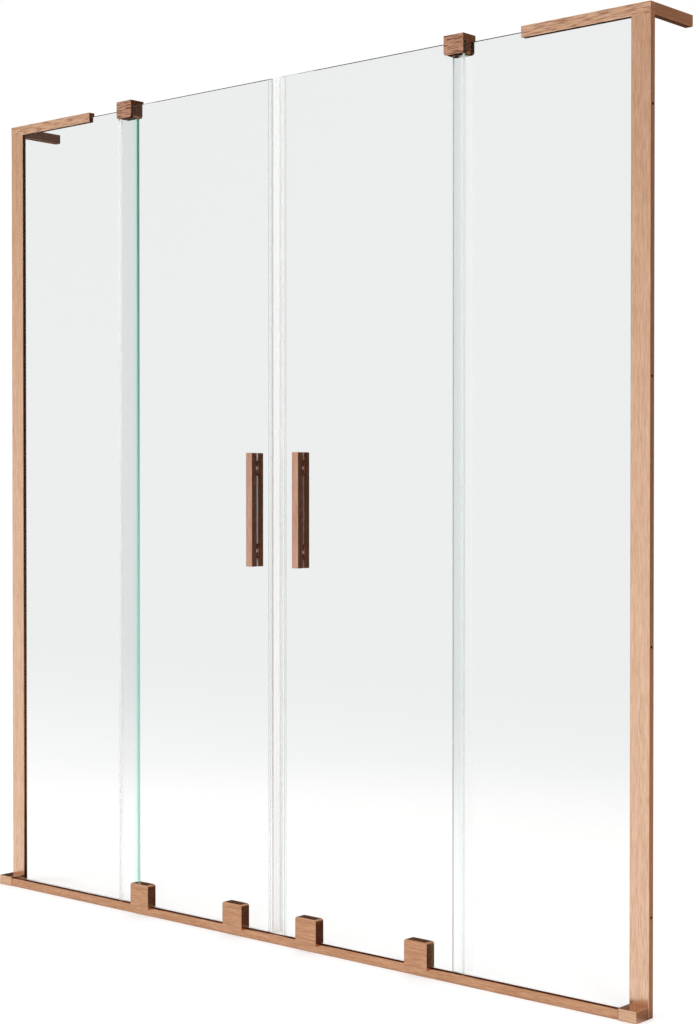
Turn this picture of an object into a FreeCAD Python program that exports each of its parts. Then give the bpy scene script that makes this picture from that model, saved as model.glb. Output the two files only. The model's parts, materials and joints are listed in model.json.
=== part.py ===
import FreeCAD, Part
import os

from FreeCAD import Vector

# Sliding bath screen: two fixed panes at the walls and two sliding panes that meet in the middle.
# Millimetres. X runs along the bath, Y from the room into the bath, Z up from the bath rim.
# The origin is the middle of the rail's underside. Left and right are as seen from the room.

# Overall
SCREEN_WIDTH = 1486.0
SCREEN_HEIGHT = 1500.0
HALF = SCREEN_WIDTH / 2
GLASS = 6.0
GLASS_ARRIS = 0.6
EDGE = 0.6
FIT = 0.05

# Bottom rail
RAIL_WIDTH = 11.5
RAIL_HEIGHT = 15.25
RAIL_GROOVE_WIDTH = 5.6
RAIL_GROOVE_DEPTH = 2.5
RAIL_CORE_WIDTH = 6.5
RAIL_CORE_LOW = 2.5
RAIL_CORE_HIGH = 10.0

# Planes across the screen, measured from the rail's centre line
DOOR_FRONT = 8.5
DOOR_BACK = DOOR_FRONT + GLASS
PANE_FRONT = 27.5
PANE_BACK = PANE_FRONT + GLASS
PANE_MIDDLE = PANE_FRONT + GLASS / 2
PROFILE_FRONT = 24.5

# Wall profile and its channel
PROFILE_WIDTH = 34.0
PROFILE_DEPTH = 12.0
PROFILE_WALL = 1.2
PROFILE_WEB = 2.0
WALL_POCKET = 14.0
PROFILE_LIP = 5.0
PROFILE_LIP_GAP = 0.4
PROFILE_BACK = PROFILE_FRONT + PROFILE_DEPTH
PROFILE_INNER_X = -HALF + PROFILE_WIDTH
WEB_INNER_X = -HALF + WALL_POCKET + PROFILE_WEB
CHANNEL_GAP = 0.15
CHANNEL_WEB = 1.5
CHANNEL_FLANGE = 1.0
CHANNEL_REACH = 12.0
CHANNEL_LOW = 22.0
CHANNEL_HIGH = 1478.0
CHANNEL_WEB_LOW = 0.5
CHANNEL_WEB_HIGH = 1481.5
WALL_HOLE_R = 2.25
WALL_HOLE_HEIGHTS = (150.0, 550.0, 950.0, 1350.0)
PROFILE_SCREW_X = -HALF + 7.0
PROFILE_SCREW_HEIGHTS = (250.0, 750.0, 1250.0)
SCREW_R = 2.0
SCREW_HEAD_R = 3.5
SCREW_HEAD_HEIGHT = 1.8

# Fixed pane
PANE_OUTER_X = WEB_INNER_X + 2.0
PANE_INNER_X = -373.0
PANE_LOW = 3.0
PANE_HIGH = 1491.5
SILL_LEG = 1.2
SILL_HEIGHT = 10.0

# Corner stabiliser on top of the fixed pane
BAR_HEIGHT = 18.0
BAR_DEPTH = 13.0
BAR_LENGTH = 235.0
ARM_LENGTH = 117.0
BAR_LOW = SCREEN_HEIGHT - BAR_HEIGHT
PAD = 0.6
GRUB_R = 2.5
GRUB_SOCKET_R = 1.3
GRUB_SOCKET_DEPTH = 1.5
GRUB_SINK = 0.2
BAR_GRUB_STEP = 80.0
BAR_GRUB_END = 30.0
BAR_GRUB_Z = BAR_LOW + 5.0
SLOT_ROOM = 0.5

# End block of the rail
BLOCK_DEPTH = 33.0
BLOCK_HEIGHT = 18.0
BLOCK_INSET = 0.3
BLOCK_SOCKET = 10.0
BLOCK_BEVEL_X = 3.0
BLOCK_BEVEL_Y = 2.0
BLOCK_SCREW_Z = 9.0
BLOCK_SCREW_LENGTH = 10.0

# Top guide on the free corner of the fixed pane
GUIDE_OUTER_X = -409.0
GUIDE_WIDTH = 39.5
GUIDE_FRONT = 5.25
GUIDE_DEPTH = 33.0
GUIDE_LOW = 1471.5
GUIDE_HIGH = 1502.8
GUIDE_ROUND = 4.5
LINER_WALL = 1.0
LINER_PLAY = 0.4
GUIDE_PAD = 0.8
GUIDE_GRUB_SIDE = 9.0
GUIDE_GRUB_Z = 1481.0

# Sliding pane
DOOR_OUTER_X = -407.0
DOOR_INNER_X = -11.5
DOOR_LOW = 8.0
DOOR_HIGH = 1490.7
SEAL_WALL = 0.8
SEAL_LEG = 7.5
SEAL_LOW = 16.0
EDGE_SEAL_HIGH = 1468.0
CLOSING_SEAL_HIGH = 1490.0
CLOSING_GAP = 0.2
STOP_GAP = 1.0
MAGNET_WIDTH = 4.4
MAGNET_DEPTH = 5.0
MAGNET_COVER = 1.0
FIN_REACH = 7.5
FIN_TIP = 1.1
FIN_ROOT = 1.6
FIN_GAP = 0.3
CLIP_BASE = 1.0
DRIP_LOW = 1.5
DRIP_HALF = 0.7
DRIP_LEAN = 0.6

# Handle, two bars that clamp the pane
HANDLE_X = -54.75
HANDLE_WIDTH = 14.5
HANDLE_DEPTH = 11.6
HANDLE_LOW = 648.0
HANDLE_HIGH = 846.0
HANDLE_STUD_HEIGHTS = (675.0, 819.0)
HANDLE_WASHER = 0.8
WASHER_WIDTH = 12.0
WASHER_LENGTH = 25.0
HANDLE_SPIGOT = 2.5
STUD_R = 3.0
STUD_DEPTH = 8.0
STUD_ROOM = 0.5

# Carriage that runs on the rail
CARRIAGE_XS = (-328.3, -87.8)
CARRIAGE_NAMES = ("outer", "inner")
CARRIAGE_WIDTH = 47.3
CARRIAGE_FRONT = -14.2
CARRIAGE_BACK = 6.0
CARRIAGE_LOW = 13.0
CARRIAGE_HIGH = 57.6
CARRIAGE_ROUND = 4.5
CARRIAGE_WALL = 3.6
CARRIAGE_POCKET_TOP = 39.0
CARRIAGE_BACK_WALL = 3.0
LIP_GAP = 0.55
RAIL_CLEARANCE = 1.1
BOLT_Z = 43.8
BOLT_R = 3.0
BOLT_TIP = -8.0
BOLT_ROOM = 0.5
CARRIAGE_PAD_WIDTH = 38.0
CARRIAGE_PAD_LOW = 20.25
CARRIAGE_PAD_HIGH = 54.6
DISC_R = 9.0
DISC_HEIGHT = 5.0
BUSH_R = 6.9
BUSH_FLANGE_R = 8.2
BUSH_FLANGE = 1.0
GLASS_HOLE_R = 7.0
HANDLE_HOLE_R = 5.0

# Roller
ROLLER_R = 12.0
ROLLER_WIDTH = 5.0
ROLLER_TREAD = 3.0
ROLLER_SHOULDER = 2.5
ROLLER_SIDE_PLAY = 0.5
ROLLER_LIFT = 0.3
BEARING_R = 6.5
AXLE_R = 2.5
AXLE_SEAT = 2.0
AXLE_BOSS_R = 4.5
ROLLER_Z = RAIL_HEIGHT - RAIL_GROOVE_DEPTH + ROLLER_R + ROLLER_LIFT

Y_AXIS = Vector(0, 1, 0)


def box(x0, x1, y0, y1, z0, z1):
    """Block between two corners."""
    return Part.makeBox(x1 - x0, y1 - y0, z1 - z0, Vector(x0, y0, z0))


def rod(radius, x, z, y0, y1):
    """Round bar across the screen, from y0 to y1."""
    return Part.makeCylinder(radius, y1 - y0, Vector(x, y0, z), Y_AXIS)


def upright(points, z0, z1):
    """Closed outline in plan, drawn up from z0 to z1."""
    wire = Part.makePolygon([Vector(x, y, z0) for x, y in points + points[:1]])
    return Part.Face(wire).extrude(Vector(0, 0, z1 - z0))


def lengthwise(points, x0, x1):
    """Closed outline across the screen, drawn along the bath from x0 to x1."""
    wire = Part.makePolygon([Vector(x0, y, z) for y, z in points + points[:1]])
    return Part.Face(wire).extrude(Vector(x1 - x0, 0, 0))


def rounded_block(x, width, y0, y1, z0, z1, radius, round_top):
    """Block whose two upper or two lower corners are rounded as seen from the room."""
    block = box(x - width / 2, x + width / 2, y0, y1, z0, z1)
    level = z1 if round_top else z0
    edges = []
    for edge in block.Edges:
        middle = edge.CenterOfMass
        if abs(middle.z - level) < 1e-6 and abs(edge.tangentAt(edge.FirstParameter).y) > 0.99:
            edges.append(edge)
    return block.makeFillet(radius, edges)


def bevelled(shape, size, axis, places):
    """Small bevel along every edge that lies in one of the planes across the axis."""
    edges = []
    for edge in shape.Edges:
        low = getattr(edge.BoundBox, axis + "Min")
        high = getattr(edge.BoundBox, axis + "Max")
        for place in places:
            if abs(low - place) < 1e-4 and abs(high - place) < 1e-4:
                edges.append(edge)
    return shape.makeChamfer(size, edges)


def glass_pane(x0, x1, y0, z0, z1):
    """Toughened pane with ground arrises."""
    pane = box(x0, x1, y0, y0 + GLASS, z0, z1)
    return bevelled(pane, GLASS_ARRIS, "Y", (y0, y0 + GLASS))


def grub_screw(x, z, y0, y1):
    """Headless clamping screw with a hexagon socket in its outer end."""
    corners = []
    for turn in range(6):
        spin = FreeCAD.Rotation(Y_AXIS, 60 * turn)
        corners.append(Vector(x, y1, z) + spin.multVec(Vector(GRUB_SOCKET_R, 0, 0)))
    socket = Part.Face(Part.makePolygon(corners + corners[:1])).extrude(Vector(0, -GRUB_SOCKET_DEPTH, 0))
    return rod(GRUB_R, x, z, y0, y1).cut(socket)


def cover_profile():
    """Visible wall profile: a pocket with lips holds the pane, another slides over the wall channel."""
    outer = -HALF
    inner = PROFILE_INNER_X
    front = PROFILE_FRONT
    back = PROFILE_BACK
    c = EDGE
    outline = [(outer + c, front), (inner - c, front), (inner, front + c), (inner, back - c)]
    outline += [(inner - c, back), (outer + c, back), (outer, back - c), (outer, front + c)]
    profile = upright(outline, 0, BAR_LOW)
    y0 = front + PROFILE_WALL
    y1 = back - PROFILE_WALL
    wall_pocket = box(outer - 1, outer + WALL_POCKET, y0, y1, -1, SCREEN_HEIGHT)
    lip = inner - PROFILE_LIP
    glass_pocket = box(WEB_INNER_X, lip, y0, y1, -1, SCREEN_HEIGHT)
    mouth0 = PANE_FRONT - PROFILE_LIP_GAP
    mouth1 = PANE_BACK + PROFILE_LIP_GAP
    mouth = box(lip - 1, inner + 1, mouth0, mouth1, -1, SCREEN_HEIGHT)
    profile = profile.cut([wall_pocket, glass_pocket, mouth])
    holes = [rod(SCREW_R + FIT, PROFILE_SCREW_X, BLOCK_SCREW_Z, front - 1, front + PROFILE_WALL + 1)]
    for z in PROFILE_SCREW_HEIGHTS:
        holes.append(rod(SCREW_R + FIT, PROFILE_SCREW_X, z, back - PROFILE_WALL - 1, back + 1))
    return profile.cut(holes)


def wall_channel():
    """Narrow channel that is screwed to the wall and takes up an uneven wall."""
    front = PROFILE_FRONT + PROFILE_WALL + CHANNEL_GAP
    back = PROFILE_BACK - PROFILE_WALL - CHANNEL_GAP
    web = box(-HALF, -HALF + CHANNEL_WEB, front, back, CHANNEL_WEB_LOW, CHANNEL_WEB_HIGH)
    flanges = box(-HALF, -HALF + CHANNEL_REACH, front, back, CHANNEL_LOW, CHANNEL_HIGH)
    hollow = box(-HALF + CHANNEL_WEB, 0, front + CHANNEL_FLANGE, back - CHANNEL_FLANGE, 0, SCREEN_HEIGHT)
    channel = web.fuse(flanges).removeSplitter()
    holes = [hollow]
    for z in WALL_HOLE_HEIGHTS:
        place = Vector(-HALF - 1, PANE_MIDDLE, z)
        holes.append(Part.makeCylinder(WALL_HOLE_R, CHANNEL_WEB + 2, place, Vector(1, 0, 0)))
    for z in PROFILE_SCREW_HEIGHTS:
        holes.append(rod(SCREW_R + FIT, PROFILE_SCREW_X, z, back - CHANNEL_FLANGE - 1, back + 1))
    return channel.cut(holes)


def profile_gasket():
    """Rubber channel that beds the pane in the wall profile, behind its lips."""
    front = PROFILE_FRONT + PROFILE_WALL
    back = PROFILE_BACK - PROFILE_WALL
    lip = PROFILE_INNER_X - PROFILE_LIP
    outline = [(WEB_INNER_X, front), (lip, front), (lip, PANE_FRONT), (PANE_OUTER_X, PANE_FRONT)]
    outline += [(PANE_OUTER_X, PANE_BACK), (lip, PANE_BACK), (lip, back), (WEB_INNER_X, back)]
    return upright(outline, PANE_LOW, BAR_LOW - 1)


def pan_screw(x, z, face, tip):
    """Screw with a low round head that stands on the face, its shank reaching to the tip."""
    crown = face + SCREW_HEAD_HEIGHT
    head = bevelled(rod(SCREW_HEAD_R, x, z, face, crown), EDGE, "Y", (crown,))
    return head.fuse(rod(SCREW_R, x, z, tip, face)).removeSplitter()


def profile_screws():
    """Screws that lock the wall profile to its channel from the bath side."""
    tip = PROFILE_BACK - PROFILE_WALL - CHANNEL_GAP - CHANNEL_FLANGE - 1
    return [pan_screw(PROFILE_SCREW_X, z, PROFILE_BACK, tip) for z in PROFILE_SCREW_HEIGHTS]


def end_block_screw():
    """Screw from inside the wall profile into the end block."""
    face = PROFILE_FRONT + PROFILE_WALL
    return pan_screw(PROFILE_SCREW_X, BLOCK_SCREW_Z, face, PROFILE_FRONT - BLOCK_SCREW_LENGTH)


def fixed_glass():
    """Fixed pane, bedded in the wall profile."""
    return glass_pane(PANE_OUTER_X, PANE_INNER_X, PANE_FRONT, PANE_LOW, PANE_HIGH)


def fixed_glass_sill():
    """Clear strip under the fixed pane."""
    front = PANE_FRONT - SILL_LEG
    back = PANE_BACK + SILL_LEG
    outline = [(front, 0), (back, 0), (back, SILL_HEIGHT), (PANE_BACK, SILL_HEIGHT), (PANE_BACK, PANE_LOW)]
    outline += [(PANE_FRONT, PANE_LOW), (PANE_FRONT, SILL_HEIGHT), (front, SILL_HEIGHT)]
    return lengthwise(outline, PROFILE_INNER_X, PANE_INNER_X)


def bar_grub_xs():
    """Places of the stabiliser's clamping screws along the bar."""
    return [-HALF + BAR_LENGTH - BAR_GRUB_END - BAR_GRUB_STEP * step for step in range(2)]


def stabiliser():
    """L-shaped corner bar: one leg grips the top of the pane, the other lies along the wall."""
    front = PROFILE_FRONT
    outline = [(-HALF, front), (-HALF + BAR_LENGTH, front), (-HALF + BAR_LENGTH, front + BAR_DEPTH)]
    outline += [(-HALF + BAR_DEPTH, front + BAR_DEPTH), (-HALF + BAR_DEPTH, front + ARM_LENGTH)]
    outline += [(-HALF, front + ARM_LENGTH)]
    body = upright(outline, BAR_LOW, SCREEN_HEIGHT)
    body = bevelled(body, EDGE, "Z", (SCREEN_HEIGHT, BAR_LOW))
    slot = box(PANE_OUTER_X - 1, 0, PANE_FRONT - PAD, PANE_BACK + PAD, 0, PANE_HIGH + SLOT_ROOM)
    holes = [slot]
    for x in bar_grub_xs():
        holes.append(rod(GRUB_R + FIT, x, BAR_GRUB_Z, PANE_BACK, front + BAR_DEPTH + 1))
    return body.cut(holes)


def stabiliser_pads():
    """Rubber strips between the stabiliser and both sides of the pane."""
    x0 = PROFILE_INNER_X
    x1 = -HALF + BAR_LENGTH - 2
    front = box(x0, x1, PANE_FRONT - PAD, PANE_FRONT, BAR_LOW + 1, PANE_HIGH)
    back = box(x0, x1, PANE_BACK, PANE_BACK + PAD, BAR_LOW + 1, PANE_HIGH)
    return [front, back]


def end_block():
    """Block that ties the rail to the foot of the wall profile."""
    front = PROFILE_FRONT - BLOCK_DEPTH
    inner = PROFILE_INNER_X
    outer = -HALF + BLOCK_INSET
    outline = [(outer, front), (inner - BLOCK_BEVEL_X, front), (inner, front + BLOCK_BEVEL_Y)]
    outline += [(inner, PROFILE_FRONT), (outer, PROFILE_FRONT)]
    block = bevelled(upright(outline, 0, BLOCK_HEIGHT), EDGE, "Z", (BLOCK_HEIGHT,))
    half = RAIL_WIDTH / 2 + FIT
    socket = box(inner - BLOCK_SOCKET, inner + 1, -half, half, -1, RAIL_HEIGHT + FIT)
    depth = PROFILE_FRONT - BLOCK_SCREW_LENGTH - 1
    screw_hole = rod(SCREW_R + FIT, PROFILE_SCREW_X, BLOCK_SCREW_Z, depth, PROFILE_FRONT + 1)
    return block.cut([socket, screw_hole])


def bottom_rail():
    """Extruded bar with a running groove on top and a hollow core."""
    half = RAIL_WIDTH / 2
    c = EDGE
    outline = [(-half, 0), (half, 0), (half, RAIL_HEIGHT - c), (half - c, RAIL_HEIGHT)]
    outline += [(-half + c, RAIL_HEIGHT), (-half, RAIL_HEIGHT - c)]
    end = -PROFILE_INNER_X + BLOCK_SOCKET
    rail = lengthwise(outline, -end, end)
    groove = RAIL_GROOVE_WIDTH / 2
    track = box(-HALF, HALF, -groove, groove, RAIL_HEIGHT - RAIL_GROOVE_DEPTH, RAIL_HEIGHT + 1)
    core = box(-HALF, HALF, -RAIL_CORE_WIDTH / 2, RAIL_CORE_WIDTH / 2, RAIL_CORE_LOW, RAIL_CORE_HIGH)
    return rail.cut([track, core])


def guide_grub_places():
    """Places of the guide's clamping screws."""
    middle = GUIDE_OUTER_X + GUIDE_WIDTH / 2
    return [(middle - GUIDE_GRUB_SIDE, GUIDE_GRUB_Z), (middle + GUIDE_GRUB_SIDE, GUIDE_GRUB_Z)]


def guide_block():
    """Clamp on the pane's top corner, with a groove that the sliding pane runs through."""
    x = GUIDE_OUTER_X + GUIDE_WIDTH / 2
    back = GUIDE_FRONT + GUIDE_DEPTH
    block = rounded_block(x, GUIDE_WIDTH, GUIDE_FRONT, back, GUIDE_LOW, GUIDE_HIGH, GUIDE_ROUND, False)
    block = bevelled(block, EDGE, "Y", (GUIDE_FRONT, back))
    side = LINER_WALL + LINER_PLAY
    top = DOOR_HIGH + 2 * LINER_PLAY + LINER_WALL
    groove = box(-HALF, 0, DOOR_FRONT - side, DOOR_BACK + side, 0, top)
    slot = box(-HALF, PANE_INNER_X, PANE_FRONT - GUIDE_PAD, PANE_BACK + GUIDE_PAD, 0, PANE_HIGH)
    holes = [groove, slot]
    for gx, gz in guide_grub_places():
        holes.append(rod(GRUB_R + FIT, gx, gz, PANE_BACK, back + 1))
    return block.cut(holes)


def guide_liner():
    """Soft black channel in the guide's groove, which the sliding pane's top edge runs in."""
    inner = LINER_PLAY
    outer = LINER_WALL + LINER_PLAY
    top = DOOR_HIGH + 2 * LINER_PLAY
    foot = GUIDE_LOW + GUIDE_ROUND
    outline = [(DOOR_FRONT - outer, foot), (DOOR_FRONT - inner, foot), (DOOR_FRONT - inner, top)]
    outline += [(DOOR_BACK + inner, top), (DOOR_BACK + inner, foot), (DOOR_BACK + outer, foot)]
    outline += [(DOOR_BACK + outer, top + LINER_WALL)]
    outline += [(DOOR_FRONT - outer, top + LINER_WALL)]
    return lengthwise(outline, GUIDE_OUTER_X, GUIDE_OUTER_X + GUIDE_WIDTH)


def guide_pads():
    """Rubber pads between the guide and both sides of the fixed pane."""
    x0 = GUIDE_OUTER_X + 1
    z0 = GUIDE_LOW + 2
    front = box(x0, PANE_INNER_X - 1, PANE_FRONT - GUIDE_PAD, PANE_FRONT, z0, PANE_HIGH - 1)
    back = box(x0, PANE_INNER_X - 1, PANE_BACK, PANE_BACK + GUIDE_PAD, z0, PANE_HIGH - 1)
    return [front, back]


def clamp_grub_screws():
    """Headless screws of the stabiliser and the guide, all on the bath side."""
    screws = []
    for x in bar_grub_xs():
        screws.append(grub_screw(x, BAR_GRUB_Z, PANE_BACK + PAD, PROFILE_FRONT + BAR_DEPTH - GRUB_SINK))
    for x, z in guide_grub_places():
        screws.append(grub_screw(x, z, PANE_BACK + GUIDE_PAD, GUIDE_FRONT + GUIDE_DEPTH - GRUB_SINK))
    return screws


def door_glass():
    """Sliding pane, drilled for its carriages and its handle."""
    pane = glass_pane(DOOR_OUTER_X, DOOR_INNER_X, DOOR_FRONT, DOOR_LOW, DOOR_HIGH)
    holes = [rod(GLASS_HOLE_R, x, BOLT_Z, DOOR_FRONT - 1, DOOR_BACK + 1) for x in CARRIAGE_XS]
    for z in HANDLE_STUD_HEIGHTS:
        holes.append(rod(HANDLE_HOLE_R, HANDLE_X, z, DOOR_FRONT - 1, DOOR_BACK + 1))
    return pane.cut(holes)


def magnet_place():
    """Corner x and y of the magnet inside the closing seal."""
    return -CLOSING_GAP - MAGNET_COVER - MAGNET_WIDTH, DOOR_FRONT + (GLASS - MAGNET_DEPTH) / 2


def closing_seal():
    """Translucent profile on the meeting edge: a clip, a soft chamber and a magnet pocket."""
    front = DOOR_FRONT - SEAL_WALL
    back = DOOR_BACK + SEAL_WALL
    leg = DOOR_INNER_X - SEAL_LEG
    outline = [(leg, front), (-CLOSING_GAP, front), (-CLOSING_GAP, back), (leg, back), (leg, DOOR_BACK)]
    outline += [(DOOR_INNER_X, DOOR_BACK), (DOOR_INNER_X, DOOR_FRONT), (leg, DOOR_FRONT)]
    seal = upright(outline, SEAL_LOW, CLOSING_SEAL_HIGH)
    x, y = magnet_place()
    pocket = box(x - FIT, x + MAGNET_WIDTH + FIT, y - FIT, y + MAGNET_DEPTH + FIT, 0, SCREEN_HEIGHT)
    chamber = box(DOOR_INNER_X + SEAL_WALL, x - SEAL_WALL, DOOR_FRONT, DOOR_BACK, 0, SCREEN_HEIGHT)
    return seal.cut([pocket, chamber])


def magnet_strip():
    """Magnet that slides into the closing seal."""
    x, y = magnet_place()
    return box(x, x + MAGNET_WIDTH, y, y + MAGNET_DEPTH, SEAL_LOW + 1, CLOSING_SEAL_HIGH - 1)


def edge_seal_tip():
    """Outermost x of the edge seal's fin."""
    return DOOR_OUTER_X - FIN_REACH


def edge_seal():
    """Clear clip on the pane's outer edge, with a fin that wipes the fixed pane."""
    front = DOOR_FRONT - SEAL_WALL
    back = DOOR_BACK + SEAL_WALL
    leg = DOOR_OUTER_X + SEAL_LEG
    side = DOOR_OUTER_X - CLIP_BASE
    tip = edge_seal_tip()
    wipe = PANE_FRONT - FIN_GAP
    outline = [(leg, front), (leg, DOOR_FRONT), (DOOR_OUTER_X, DOOR_FRONT), (DOOR_OUTER_X, DOOR_BACK)]
    outline += [(leg, DOOR_BACK), (leg, back), (side + SEAL_WALL, back), (tip + FIN_TIP, wipe), (tip, wipe)]
    outline += [(side, back - FIN_ROOT), (side, front)]
    return upright(outline, SEAL_LOW, EDGE_SEAL_HIGH)


def bottom_seal():
    """Clear clip under the sliding pane, with a drip fin."""
    front = DOOR_FRONT - SEAL_WALL
    back = DOOR_BACK + SEAL_WALL
    under = DOOR_LOW - CLIP_BASE
    top = DOOR_LOW + SEAL_LEG
    middle = DOOR_FRONT + GLASS / 2
    outline = [(front, top), (front, under), (middle - DRIP_HALF, under)]
    outline += [(middle - DRIP_HALF - DRIP_LEAN, DRIP_LOW), (middle + DRIP_HALF - 2 * DRIP_LEAN, DRIP_LOW)]
    outline += [(middle + DRIP_HALF, under), (back, under), (back, top), (DOOR_BACK, top)]
    outline += [(DOOR_BACK, DOOR_LOW), (DOOR_FRONT, DOOR_LOW), (DOOR_FRONT, top)]
    return lengthwise(outline, DOOR_OUTER_X, DOOR_INNER_X)


def handle_bar(y0, y1):
    """One half of the handle, with blind holes for the studs."""
    bar = box(HANDLE_X - HANDLE_WIDTH / 2, HANDLE_X + HANDLE_WIDTH / 2, y0, y1, HANDLE_LOW, HANDLE_HIGH)
    bar = bevelled(bar, EDGE, "Z", (HANDLE_LOW, HANDLE_HIGH))
    front = y0 < DOOR_FRONT
    hole0 = y1 - STUD_DEPTH if front else y0 - 1
    hole1 = y1 + 1 if front else y0 + STUD_DEPTH
    return bar.cut([rod(STUD_R + FIT, HANDLE_X, z, hole0, hole1) for z in HANDLE_STUD_HEIGHTS])


def handle_front():
    """Handle bar on the room side."""
    y1 = DOOR_FRONT - HANDLE_WASHER
    return handle_bar(y1 - HANDLE_DEPTH, y1)


def handle_rear():
    """Handle bar on the bath side."""
    y0 = DOOR_BACK + HANDLE_WASHER
    return handle_bar(y0, y0 + HANDLE_DEPTH)


def washer_plate(z, y0, y1):
    """Upright oblong plate with round ends, between a handle bar and the pane."""
    half = WASHER_WIDTH / 2
    reach = WASHER_LENGTH / 2 - half
    middle = box(HANDLE_X - half, HANDLE_X + half, y0, y1, z - reach, z + reach)
    ends = [rod(half, HANDLE_X, end, y0, y1) for end in (z - reach, z + reach)]
    return middle.fuse(ends)


def handle_washers():
    """Oblong washers with a spigot that centres the stud in the glass."""
    washers = []
    spigot_r = HANDLE_HOLE_R - FIT
    for z in HANDLE_STUD_HEIGHTS:
        bore = rod(STUD_R + FIT, HANDLE_X, z, DOOR_FRONT - HANDLE_DEPTH, DOOR_BACK + HANDLE_DEPTH)
        plate = washer_plate(z, DOOR_FRONT - HANDLE_WASHER, DOOR_FRONT)
        spigot = rod(spigot_r, HANDLE_X, z, DOOR_FRONT, DOOR_FRONT + HANDLE_SPIGOT)
        washers.append(plate.fuse(spigot).cut(bore).removeSplitter())
        plate = washer_plate(z, DOOR_BACK, DOOR_BACK + HANDLE_WASHER)
        spigot = rod(spigot_r, HANDLE_X, z, DOOR_BACK - HANDLE_SPIGOT, DOOR_BACK)
        washers.append(plate.fuse(spigot).cut(bore).removeSplitter())
    return washers


def handle_studs():
    """Threaded studs that pull the two handle bars together through the pane."""
    y0 = DOOR_FRONT - HANDLE_WASHER - STUD_DEPTH + STUD_ROOM
    y1 = DOOR_BACK + HANDLE_WASHER + STUD_DEPTH - STUD_ROOM
    return [rod(STUD_R, HANDLE_X, z, y0, y1) for z in HANDLE_STUD_HEIGHTS]


def carriage(x):
    """Cast block that carries the pane: a front lip hangs over the rail, a pocket holds the roller."""
    half = CARRIAGE_WIDTH / 2
    block = rounded_block(
        x, CARRIAGE_WIDTH, CARRIAGE_FRONT, CARRIAGE_BACK, CARRIAGE_LOW, CARRIAGE_HIGH, CARRIAGE_ROUND, True
    )
    block = bevelled(block, EDGE, "Y", (CARRIAGE_FRONT, CARRIAGE_BACK))
    rail_top = RAIL_HEIGHT + RAIL_CLEARANCE
    lip = -RAIL_WIDTH / 2 - LIP_GAP
    notch = box(x - half - 1, x + half + 1, lip, CARRIAGE_BACK + 1, 0, rail_top)
    pocket_front = CARRIAGE_FRONT + CARRIAGE_WALL
    pocket_back = CARRIAGE_BACK - CARRIAGE_BACK_WALL
    inside = half - CARRIAGE_WALL
    pocket = box(x - inside, x + inside, pocket_front, pocket_back, 0, CARRIAGE_POCKET_TOP)
    boss = rod(AXLE_BOSS_R, x, ROLLER_Z, pocket_front, -ROLLER_WIDTH / 2 - ROLLER_SIDE_PLAY)
    axle_hole = rod(AXLE_R + FIT, x, ROLLER_Z, pocket_front - AXLE_SEAT, CARRIAGE_BACK + 1)
    bolt_hole = rod(BOLT_R + FIT, x, BOLT_Z, BOLT_TIP - BOLT_ROOM, CARRIAGE_BACK + 1)
    return block.cut([notch, pocket]).fuse(boss).cut([axle_hole, bolt_hole])


def roller_axle(x):
    """Steel pin across the carriage."""
    return rod(AXLE_R, x, ROLLER_Z, CARRIAGE_FRONT + CARRIAGE_WALL - AXLE_SEAT, CARRIAGE_BACK)


def roller(x):
    """Nylon tyre with sloped shoulders, whose tread runs in the rail's groove."""
    half = ROLLER_WIDTH / 2
    tread = ROLLER_TREAD / 2
    bore = BEARING_R + FIT / 2
    shoulder = ROLLER_R - ROLLER_SHOULDER
    outline = [(bore, half), (bore, -half), (shoulder, -half), (ROLLER_R, -tread), (ROLLER_R, tread)]
    outline += [(shoulder, half)]
    wire = Part.makePolygon([Vector(r, y, 0) for r, y in outline + outline[:1]])
    wheel = Part.Face(wire).revolve(Vector(0, 0, 0), Y_AXIS, 360)
    wheel.translate(Vector(x, 0, ROLLER_Z))
    return wheel


def roller_bearing(x):
    """Steel bearing pressed into the roller."""
    half = ROLLER_WIDTH / 2
    ring = rod(BEARING_R, x, ROLLER_Z, -half, half)
    return ring.cut(rod(AXLE_R + FIT, x, ROLLER_Z, -half - 1, half + 1))


def carriage_pad(x):
    """Rubber pad between the carriage and the pane."""
    half = CARRIAGE_PAD_WIDTH / 2
    pad = box(x - half, x + half, CARRIAGE_BACK, DOOR_FRONT, CARRIAGE_PAD_LOW, CARRIAGE_PAD_HIGH)
    return pad.cut(rod(BOLT_R + FIT, x, BOLT_Z, CARRIAGE_BACK - 1, DOOR_FRONT + 1))


def carriage_bush(x):
    """Flanged nylon bush in the pane's hole."""
    sleeve = rod(BUSH_R, x, BOLT_Z, DOOR_FRONT, DOOR_BACK)
    flange = rod(BUSH_FLANGE_R, x, BOLT_Z, DOOR_BACK, DOOR_BACK + BUSH_FLANGE)
    bore = rod(BOLT_R + FIT, x, BOLT_Z, DOOR_FRONT - 1, DOOR_BACK + BUSH_FLANGE + 1)
    return sleeve.fuse(flange).cut(bore).removeSplitter()


def carriage_bolt(x):
    """Disc-headed bolt that clamps the pane to the carriage from the bath side."""
    seat = DOOR_BACK + BUSH_FLANGE
    head = bevelled(rod(DISC_R, x, BOLT_Z, seat, seat + DISC_HEIGHT), EDGE, "Y", (seat + DISC_HEIGHT,))
    return head.fuse(rod(BOLT_R, x, BOLT_Z, BOLT_TIP, seat)).removeSplitter()


def mirrored(shape):
    """The same piece on the other half of the screen."""
    return shape.mirror(Vector(0, 0, 0), Vector(1, 0, 0))


def write(node, solids):
    """One file for each node."""
    shape = solids[0] if len(solids) == 1 else Part.makeCompound(solids)
    shape.exportStep("parts/" + node + ".step")
    state = "valid" if shape.isValid() else "not valid"
    print(node, len(shape.Solids), "solids", round(shape.Volume / 1000, 1), "cm3", state)


def write_pair(node, solids):
    """A node for each half of the screen."""
    write("left_" + node, solids)
    write("right_" + node, [mirrored(solid) for solid in solids])


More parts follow.
